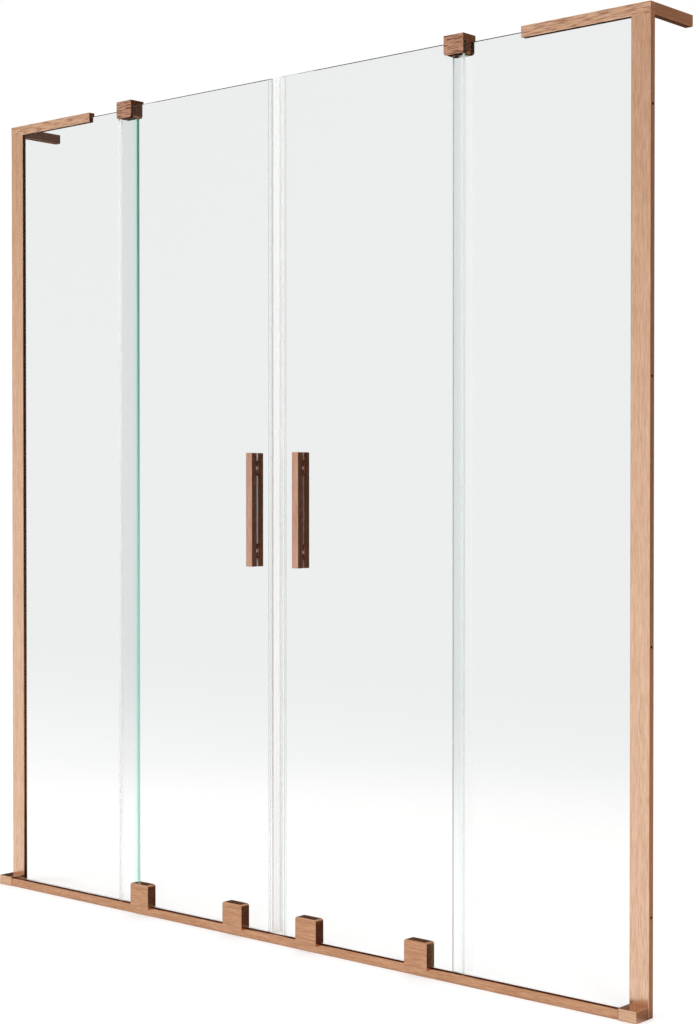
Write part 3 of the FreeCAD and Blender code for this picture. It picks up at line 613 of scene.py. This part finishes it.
def plain_finish(name, dark, light, grain, rough, metallic=0.0, relief=0.0):
    """A finish with one grain size in metres: two tones, a range of roughness and a slight relief."""
    finish, tree, shader = new_finish(name)
    coordinates = add_node(tree, "TexCoord").outputs["Object"]
    grains = stretched_noise(tree, coordinates, "Z", grain, grain, Detail=3.0)
    tones = list(zip(GRAIN_LEVELS, (dark, light)))
    tree.links.new(add_ramp(tree, grains, tones), shader.inputs["Base Color"])
    tree.links.new(add_range(tree, grains, (0.0, 1.0), rough), shader.inputs["Roughness"])
    shader.inputs["Metallic"].default_value = metallic
    if relief:
        add_relief(tree, grains, shader, GRAIN_RELIEF, relief)
    return finish


magnet = plain_finish(
    "magnet_strip", seen(236, 238, 237), seen(246, 247, 246), grain=0.002, rough=(0.5, 0.65), relief=0.0001
)
rubber = plain_finish(
    "black_rubber", seen(38, 36, 34), seen(52, 50, 48), grain=0.0008, rough=(0.62, 0.8), relief=0.0001
)
guide_liner = plain_finish(
    "guide_liner", seen(84, 60, 46), seen(98, 72, 56), grain=0.0008, rough=(0.55, 0.7), relief=0.0001
)
nylon = plain_finish(
    "white_nylon", seen(222, 221, 214), seen(236, 235, 229), grain=0.004, rough=(0.38, 0.5), relief=0.00005
)
steel = plain_finish(
    "stainless_steel", seen(172, 172, 170), seen(206, 206, 204), grain=0.0012, rough=(0.25, 0.4), metallic=1.0
)
print("plain finishes made")

# %% Seal
SEAL_REACH = 0.020
EDGE_SEAL_FROM = 0.0192
SEAL_ZONES = (
    ("magnet pocket", 0.0, 0.92, WHITE),
    ("clip", 0.0067, 0.10, seen(250, 252, 251)),
    # Painted shade: the grey at the tip of a clip stands for the dark line where the rounded tip bends the
    # light.
    ("tip of the clip", 0.0180, 0.40, seen(150, 156, 155)),
    ("edge seal", EDGE_SEAL_FROM, 0.10, seen(226, 231, 230)),
)
# Painted light: the left outer seal is milkier and white, for the light that it catches.
LEFT_SEAL_PAINTED_LIGHT_ALPHA = 0.50
SEAL_SIDE_ALPHA = 0.28
SEAL_SIDE = seen(250, 253, 252)
SIDE_FLATNESS = 0.9
# Painted light: the outer seals keep only this share of their alpha near the rail.
LOW_SEAL_SHARE = 0.35
CLOUD_LENGTH = 0.08
CLOUD_WIDTH = 0.02
CLOUD_LEVELS = (0.3, 0.7)
CLOUD_SHARES = (0.0, 0.08)
SEAL_ROUGHNESS = (0.28, 0.45)


def grey(level):
    """A level as a colour, for the nodes that mix colours."""
    return (level, level, level, 1.0)


def soft_seal(name):
    """Clear soft plastic in zones from the middle of the screen, with milky sides; painted light makes the
    outer seals clearer near the rail and the left one milkier, and the clip tips get painted shade.
    """
    finish, tree, shader = new_finish(name)
    place = add_node(tree, "SeparateXYZ")
    coordinates = add_node(tree, "TexCoord").outputs["Object"]
    tree.links.new(coordinates, place.inputs["Vector"])
    off_middle = add_math(tree, "ABSOLUTE", place.outputs["X"], 0.0)
    zone = add_math(tree, "DIVIDE", off_middle, SEAL_REACH)
    alphas = [(start / SEAL_REACH, grey(alpha)) for _, start, alpha, _ in SEAL_ZONES]
    colours = [(start / SEAL_REACH, colour) for _, start, _, colour in SEAL_ZONES]
    facing = add_node(tree, "SeparateXYZ")
    tree.links.new(add_node(tree, "NewGeometry").outputs["True Normal"], facing.inputs["Vector"])
    to_side = add_math(tree, "ABSOLUTE", facing.outputs["X"], 0.0)
    is_side = add_math(tree, "GREATER_THAN", to_side, SIDE_FLATNESS)
    # Painted light: the left outer seal is milkier and whiter.
    on_left = add_math(tree, "LESS_THAN", place.outputs["X"], -EDGE_SEAL_FROM)
    zone_alpha = add_mix(tree, on_left, add_ramp(tree, zone, alphas, "CONSTANT"), grey(LEFT_SEAL_PAINTED_LIGHT_ALPHA))
    zone_colour = add_mix(tree, on_left, add_ramp(tree, zone, colours, "CONSTANT"), WHITE)
    alpha = add_mix(tree, is_side, zone_alpha, grey(SEAL_SIDE_ALPHA))
    # Painted light: the outer seals get clearer towards the rail.
    clearer = add_range(tree, place.outputs["Z"], PAINTED_LIGHT_HEIGHTS, (LOW_SEAL_SHARE, 1.0), smooth=True)
    at_middle = add_math(tree, "LESS_THAN", off_middle, EDGE_SEAL_FROM)
    share = add_math(tree, "MAXIMUM", clearer, at_middle)
    tree.links.new(add_math(tree, "MULTIPLY", alpha, share), shader.inputs["Alpha"])
    colour = add_mix(tree, is_side, zone_colour, SEAL_SIDE)
    cloud = stretched_noise(tree, coordinates, "Z", CLOUD_LENGTH, CLOUD_WIDTH, Detail=3.0)
    clouded = add_mix(tree, add_range(tree, cloud, CLOUD_LEVELS, CLOUD_SHARES), colour, WHITE)
    tree.links.new(clouded, shader.inputs["Base Color"])
    tree.links.new(add_range(tree, cloud, (0.0, 1.0), SEAL_ROUGHNESS), shader.inputs["Roughness"])
    return finish


clear_seal = soft_seal("milky_seal")
print("seal zones:", [zone[0] for zone in SEAL_ZONES])

# %% Put a finish on every piece
PIECE_FINISHES = {
    "cover_profile": copper_profile,
    "wall_channel": copper_profile,
    "rail_end_block": copper_block,
    "handle_front": copper_handle,
    "handle_rear": copper_handle,
    "handle_washers": copper_handle,
    "stabiliser": copper_corner,
    "top_guide": copper_guide,
    "top_guide_liners": guide_liner,
    "door_glass": door_glass,
}
SLOT_FINISHES = {
    "copper_profile": copper_fitting,
    "copper_fitting": copper_fitting,
    "glass": fixed_glass,
    "clear_seal": clear_seal,
    "magnet": magnet,
    "rubber": rubber,
    "nylon": nylon,
    "steel": steel,
}


def finish_for(node, slot):
    """The finish of a piece: its own where it has one, or else that of its material slot."""
    own = [finish for ending, finish in PIECE_FINISHES.items() if node.endswith(ending)]
    return own[0] if own else SLOT_FINISHES[slot]


for entry in frame["record"]["subparts"]:
    piece = frame["nodes"][entry["node"]]
    finish = finish_for(entry["node"], entry["material_slot"])
    if not piece.material_slots:
        piece.data.materials.append(finish)
    for slot in piece.material_slots:
        slot.material = finish
    # Glass and seals let the light pass, so they cast no shadow.
    piece.visible_shadow = finish not in (fixed_glass, door_glass, clear_seal)

# %% [markdown]
# ## Fastenings
# Screws and bolts are turned on a lathe and get their drive pressed into the head. A lathe is easy to
# copy: draw half of the outline and turn it about the axis. The drive could be cut out with a boolean,
# but joining the crown's rim to the drive's outline leaves cleaner faces. Where one shape is repeated,
# a Geometry Nodes tree puts it on rows of points, so a count and a step say where they all go.

# %% Turn a fastener and press its drive
TURNED_SIDES = 32
CRISP_FROM = 35


def ring_of_points(verts, centre, radius, y):
    """One circle of corners about the Y axis."""
    points = []
    for side in range(TURNED_SIDES):
        angle = 2 * math.pi * side / TURNED_SIDES
        place = (centre.x + radius * math.cos(angle), y, centre.z + radius * math.sin(angle))
        points.append(verts.new(place))
    return points


def join_loops(faces, first, second):
    """A band of faces between two loops of corners."""
    count = len(first)
    for i in range(count):
        j = (i + 1) % count
        faces.new((first[i], first[j], second[j], second[i]))


def finished_mesh(name, shape, smooth_angle):
    """A mesh with its faces outwards, smooth over gentle bends and crisp at sharp ones."""
    bmesh.ops.recalc_face_normals(shape, faces=shape.faces)
    mesh = bpy.data.meshes.new(name)
    shape.to_mesh(mesh)
    shape.free()
    mesh.shade_smooth()
    mesh.set_sharp_from_angle(angle=math.radians(smooth_angle))
    return mesh


def driven_fastener(name, centre, outline, drive, drive_depth):
    """A turned fastener: its outline runs from the tip to the crown, its drive is an outline in the crown."""
    shape = bmesh.new()
    rings = [ring_of_points(shape.verts, centre, radius, y) for radius, y in outline]
    shape.faces.new(rings[0])
    for first, second in zip(rings, rings[1:]):
        join_loops(shape.faces, first, second)
    crown = outline[-1][1]
    rim = [shape.verts.new((centre.x + x, crown, centre.z + z)) for x, z in drive]
    base = [shape.verts.new((centre.x + x, crown - drive_depth, centre.z + z)) for x, z in drive]
    join_loops(shape.faces, rim, base)
    corners = rings[-1] + rim
    for triangle in tessellate_polygon([[v.co for v in rings[-1]], [v.co for v in rim]]):
        shape.faces.new([corners[i] for i in triangle])
    for triangle in tessellate_polygon([[v.co for v in base]]):
        shape.faces.new([base[i] for i in triangle])
    return finished_mesh(name, shape, CRISP_FROM)


def threaded(radius, start, end, pitch, depth):
    """Outline of a thread, as ridges from one place to the other."""
    outline = []
    for turn in range(round((end - start) / pitch)):
        outline.append((radius - depth, start + turn * pitch))
        outline.append((radius, start + (turn + 0.5) * pitch))
    return outline


def rounded_rim(radius, round_r, crown, steps=5):
    """Outline over the rounded rim of a head, up to its flat crown."""
    outline = []
    for step in range(steps + 1):
        angle = math.pi / 2 * step / steps
        reach = radius - round_r + round_r * math.cos(angle)
        rise = crown - round_r + round_r * math.sin(angle)
        outline.append((reach, rise))
    return outline


def cross_drive(reach, half):
    """Outline of a cross recess."""
    arm = [(half, half), (reach, half), (reach, -half)]
    outline = []
    for turn in range(4):
        angle = -math.pi / 2 * turn
        c, s = math.cos(angle), math.sin(angle)
        outline += [(x * c - z * s, x * s + z * c) for x, z in arm]
    return outline


def hexagon_drive(across_flats):
    """Outline of a hexagon socket."""
    reach = across_flats / math.sqrt(3)
    return [(reach * math.cos(math.pi / 3 * i), reach * math.sin(math.pi / 3 * i)) for i in range(6)]


print("fasteners are turned with", TURNED_SIDES, "sides")

# %% A tree that repeats a fastener in rows
def new_tree(name, inputs):
    """An empty Geometry Nodes tree with its named inputs; returns it with its two ends."""
    tree = bpy.data.node_groups.new(name, "GeometryNodeTree")
    tree.interface.new_socket("Geometry", in_out="INPUT", socket_type="NodeSocketGeometry")
    for label, kind in inputs:
        tree.interface.new_socket(label, in_out="INPUT", socket_type="NodeSocket" + kind)
    tree.interface.new_socket("Geometry", in_out="OUTPUT", socket_type="NodeSocketGeometry")
    return tree, tree.nodes.new("NodeGroupInput").outputs, tree.nodes.new("NodeGroupOutput").inputs


def chain(tree, kind, settings, links):
    """One Geometry Nodes node, with its settings and the sockets that feed it."""
    node = tree.nodes.new("GeometryNode" + kind)
    for key, value in settings.items():
        setattr(node, key, value)
    for key, source in links.items():
        put(tree, source, node.inputs[key])
    return node.outputs[0]


ROW_INPUTS = (
    ("Count", "Int"),
    ("Step", "Vector"),
    ("Rows", "Int"),
    ("Row step", "Vector"),
    ("Finish", "Material"),
)
IN_STEPS = {"mode": "OFFSET"}
rows_tree, given, result = new_tree("rows_of_fasteners", ROW_INPUTS)
one_row = chain(rows_tree, "MeshLine", IN_STEPS, {"Count": given["Count"], "Offset": given["Step"]})
starts = chain(rows_tree, "MeshLine", IN_STEPS, {"Count": given["Rows"], "Offset": given["Row step"]})
all_rows = chain(rows_tree, "InstanceOnPoints", {}, {"Points": starts, "Instance": one_row})
places = chain(rows_tree, "RealizeInstances", {}, {"Geometry": all_rows})
placed = chain(rows_tree, "InstanceOnPoints", {}, {"Points": places, "Instance": given["Geometry"]})
solid = chain(rows_tree, "RealizeInstances", {}, {"Geometry": placed})
finished = chain(rows_tree, "SetMaterial", {}, {"Geometry": solid, "Material": given["Finish"]})
rows_tree.links.new(finished, result["Geometry"])


def grown(name, mesh, tree, settings):
    """Runs a tree on one shape and keeps the result as a plain mesh at the origin."""
    piece = bpy.data.objects.new(name, mesh)
    scene.collection.objects.link(piece)
    modifier = piece.modifiers.new("rows", "NODES")
    modifier.node_group = tree
    for item in tree.interface.items_tree:
        if item.in_out == "INPUT" and item.name in settings:
            modifier[item.identifier] = settings[item.name]
    evaluated = piece.evaluated_get(bpy.context.evaluated_depsgraph_get())
    result_mesh = bpy.data.meshes.new_from_object(evaluated)
    piece.modifiers.remove(modifier)
    piece.data = result_mesh
    return piece


print("tree:", rows_tree.name)

# %% Screws that lock the wall profiles
SCREW_HEAD_R = 0.0035
SCREW_HEAD_HEIGHT = 0.0018
SCREW_R = 0.0020
SCREW_RIM = 0.0012
SCREW_PITCH = 0.0007
SCREW_THREAD = 0.0003
CROSS_REACH = 0.0017
CROSS_HALF = 0.0004
CROSS_DEPTH = 0.0011
SCREWS_IN_ROW = 3
low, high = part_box("profile_screws")
screw_centre = Vector((low.x + SCREW_HEAD_R, 0.0, low.z + SCREW_HEAD_R))
head_face = high.y - SCREW_HEAD_HEIGHT
screw_outline = threaded(SCREW_R, low.y, head_face, SCREW_PITCH, SCREW_THREAD)
screw_outline += [(SCREW_R, head_face), (SCREW_HEAD_R, head_face)]
screw_outline += rounded_rim(SCREW_HEAD_R, SCREW_RIM, high.y)
cross = cross_drive(CROSS_REACH, CROSS_HALF)
screw = driven_fastener("screw", screw_centre, screw_outline, cross, CROSS_DEPTH)
screw_step = (high.z - low.z - 2 * SCREW_HEAD_R) / (SCREWS_IN_ROW - 1)
wall_profile_screws = grown("wall_profile_screws", screw, rows_tree, {
    "Count": SCREWS_IN_ROW,
    "Step": (0.0, 0.0, screw_step),
    "Rows": 2,
    "Row step": (high.x - low.x - 2 * SCREW_HEAD_R, 0.0, 0.0),
    "Finish": steel,
})
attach(wall_profile_screws, "frame")
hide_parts("profile_screws")
print("screws:", 2 * SCREWS_IN_ROW, "faces:", len(wall_profile_screws.data.polygons))

# %% Disc-headed bolts of the carriages
DISC_HEIGHT = 0.005
DISC_RIM = 0.0012
BOLT_R = 0.003
BOLT_PITCH = 0.001
BOLT_THREAD = BOLT_PITCH * 0.4
BOLT_SOCKET = 0.006
SOCKET_DEPTH = DISC_HEIGHT * 0.7
for side in ("left", "right"):
    low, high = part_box(side + "_carriage_bolts")
    disc_r = (high.z - low.z) / 2
    bolt_centre = Vector((low.x + disc_r, 0.0, low.z + disc_r))
    seat = high.y - DISC_HEIGHT
    bolt_outline = threaded(BOLT_R, low.y, seat, BOLT_PITCH, BOLT_THREAD)
    bolt_outline += [(BOLT_R, seat), (disc_r, seat)]
    bolt_outline += rounded_rim(disc_r, DISC_RIM, high.y)
    bolt = driven_fastener("bolt", bolt_centre, bolt_outline, hexagon_drive(BOLT_SOCKET), SOCKET_DEPTH)
    disc_bolts = grown(side + "_disc_bolts", bolt, rows_tree, {
        "Count": 2,
        "Step": (high.x - low.x - 2 * disc_r, 0.0, 0.0),
        "Rows": 1,
        "Finish": copper_fitting,
    })
    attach(disc_bolts, side + "_door")
    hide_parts(side + "_carriage_bolts")
    print(disc_bolts.name, "faces:", len(disc_bolts.data.polygons))

# %% [markdown]
# ## Handle liners
# Each handle bar stands off the pane on two oblong washers. Clear liners fill the rest of the gap, so that
# the bar doesn't knock on the glass, and they show as a faint light line along the handle's side that
# stops at the washers. A liner could be a thin box, but a cut strip has round corners, so its outline is
# drawn first and then pulled out to its thickness. The rows tree sets the same liners before and behind
# the pane.

# %% Liners between the handle bars and the panes
LINER_INSET = 0.0003
LINER_SETBACK = 0.0018
LINER_PLAY = 0.00005
LINER_CORNER = 0.002
CORNER_STEPS = 5
WASHER_LENGTH = 0.025


def rounded_outline(low_x, high_x, low_z, high_z, radius):
    """Corners of an upright rectangle with round corners."""
    outline = []
    centres = (
        (high_x - radius, high_z - radius), (low_x + radius, high_z - radius),
        (low_x + radius, low_z + radius), (high_x - radius, low_z + radius),
    )
    for quarter, (x, z) in enumerate(centres):
        for step in range(CORNER_STEPS + 1):
            angle = math.pi / 2 * (quarter + step / CORNER_STEPS)
            outline.append((x + radius * math.cos(angle), z + radius * math.sin(angle)))
    return outline


def add_plate(shape, outline, low_y, high_y):
    """A flat plate with an outline, from one place in Y to another."""
    front = [shape.verts.new((x, low_y, z)) for x, z in outline]
    back = [shape.verts.new((x, high_y, z)) for x, z in outline]
    shape.faces.new(front)
    shape.faces.new(back)
    join_loops(shape.faces, front, back)


for side in ("left", "right"):
    bar_low, bar_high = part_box(side + "_handle_front")
    washer_low, washer_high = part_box(side + "_handle_washers")
    pane_low, pane_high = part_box(side + "_door_glass")
    runs = (
        (bar_low.z, washer_low.z),
        (washer_low.z + WASHER_LENGTH, washer_high.z - WASHER_LENGTH),
        (washer_high.z, bar_high.z),
    )
    shape = bmesh.new()
    for low_z, high_z in runs:
        outline = rounded_outline(
            bar_low.x + LINER_SETBACK, bar_high.x - LINER_SETBACK,
            low_z + LINER_INSET, high_z - LINER_INSET, LINER_CORNER,
        )
        add_plate(shape, outline, bar_high.y + LINER_PLAY, pane_low.y - LINER_PLAY)
    liner_mesh = finished_mesh("liners", shape, CRISP_FROM)
    liners = grown(side + "_handle_liners", liner_mesh, rows_tree, {
        "Count": 2,
        "Step": (0.0, pane_high.y - bar_high.y, 0.0),
        "Rows": 1,
        "Finish": clear_seal,
    })
    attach(liners, side + "_door")
    print(liners.name, "runs:", len(runs), "faces:", len(liners.data.polygons))

# %% [markdown]
# ## Ball bearings
# Each roller turns on a small bearing: an inner and an outer ring with balls in the grooves between
# them. The rings are turned like the screws, and a second tree sets the balls on a circle of points.

# %% A tree that sets balls in a ring
BALL_DETAIL = 3
BALL_INPUTS = (
    ("Balls", "Int"),
    ("Pitch radius", "Float"),
    ("Ball radius", "Float"),
    ("Centre", "Vector"),
    ("Finish", "Material"),
)
balls_tree, given, result = new_tree("ring_of_balls", BALL_INPUTS)
circle = chain(balls_tree, "MeshCircle", {}, {"Vertices": given["Balls"], "Radius": given["Pitch radius"]})
upright = chain(balls_tree, "Transform", {}, {
    "Geometry": circle, "Translation": given["Centre"], "Rotation": (math.pi / 2, 0.0, 0.0),
})
ball = chain(balls_tree, "MeshIcoSphere", {}, {"Radius": given["Ball radius"], "Subdivisions": BALL_DETAIL})
smooth_ball = chain(balls_tree, "SetShadeSmooth", {}, {"Geometry": ball})
on_circle = chain(balls_tree, "InstanceOnPoints", {}, {"Points": upright, "Instance": smooth_ball})
solid_balls = chain(balls_tree, "RealizeInstances", {}, {"Geometry": on_circle})
joined = balls_tree.nodes.new("GeometryNodeJoinGeometry")
balls_tree.links.new(solid_balls, joined.inputs["Geometry"])
balls_tree.links.new(given["Geometry"], joined.inputs["Geometry"])
finished = chain(balls_tree, "SetMaterial", {}, {"Geometry": joined.outputs[0], "Material": given["Finish"]})
balls_tree.links.new(finished, result["Geometry"])
print("tree:", balls_tree.name)

# %% Bearings of the rollers
BALL_R = 0.00105
BALLS = 9
BORE_R = 0.00255
RING_GAP = 0.0008
GROOVE_STEPS = 6
GROOVE_R = BALL_R * 1.04
RACE_CRISP_FROM = 40


def race_outline(inner_r, outer_r, half, groove_r, pitch_r):
    """Closed outline of one ring, with the groove on the side that faces the balls."""
    outward = abs(outer_r - pitch_r) < abs(inner_r - pitch_r)
    open_r = outer_r if outward else inner_r
    plain_r = inner_r if outward else outer_r
    turn = math.acos(abs(pitch_r - open_r) / groove_r)
    outline = [(plain_r, -half), (plain_r, half), (open_r, half)]
    for step in range(GROOVE_STEPS + 1):
        angle = turn - 2 * turn * step / GROOVE_STEPS
        reach = groove_r * math.cos(angle)
        outline.append((pitch_r - reach if outward else pitch_r + reach, groove_r * math.sin(angle)))
    return outline + [(open_r, -half)]


def bearing_rings(centre, inner_r, outer_r, half, groove_r):
    """The two rings of a bearing, as one mesh."""
    pitch_r = (inner_r + outer_r) / 2
    shape = bmesh.new()
    for low_r, high_r in ((inner_r, pitch_r - RING_GAP), (pitch_r + RING_GAP, outer_r)):
        outline = race_outline(low_r, high_r, half, groove_r, pitch_r)
        rings = [ring_of_points(shape.verts, centre, radius, centre.y + y) for radius, y in outline]
        for first, second in zip(rings, rings[1:] + rings[:1]):
            join_loops(shape.faces, first, second)
    return finished_mesh("bearing_rings", shape, RACE_CRISP_FROM)


for side in ("left", "right"):
    for end in ("outer", "inner"):
        node = side + "_" + end + "_bearing"
        low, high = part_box(node)
        centre = (low + high) / 2
        outer_r = (high.z - low.z) / 2
        rings = bearing_rings(centre, BORE_R, outer_r, (high.y - low.y) / 2, GROOVE_R)
        bearing = grown(side + "_" + end + "_ball_bearing", rings, balls_tree, {
            "Balls": BALLS,
            "Pitch radius": (BORE_R + outer_r) / 2,
            "Ball radius": BALL_R,
            "Centre": centre,
            "Finish": steel,
        })
        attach(bearing, side + "_" + end + "_wheel")
        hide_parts(node)
        print(bearing.name, "faces:", len(bearing.data.polygons))
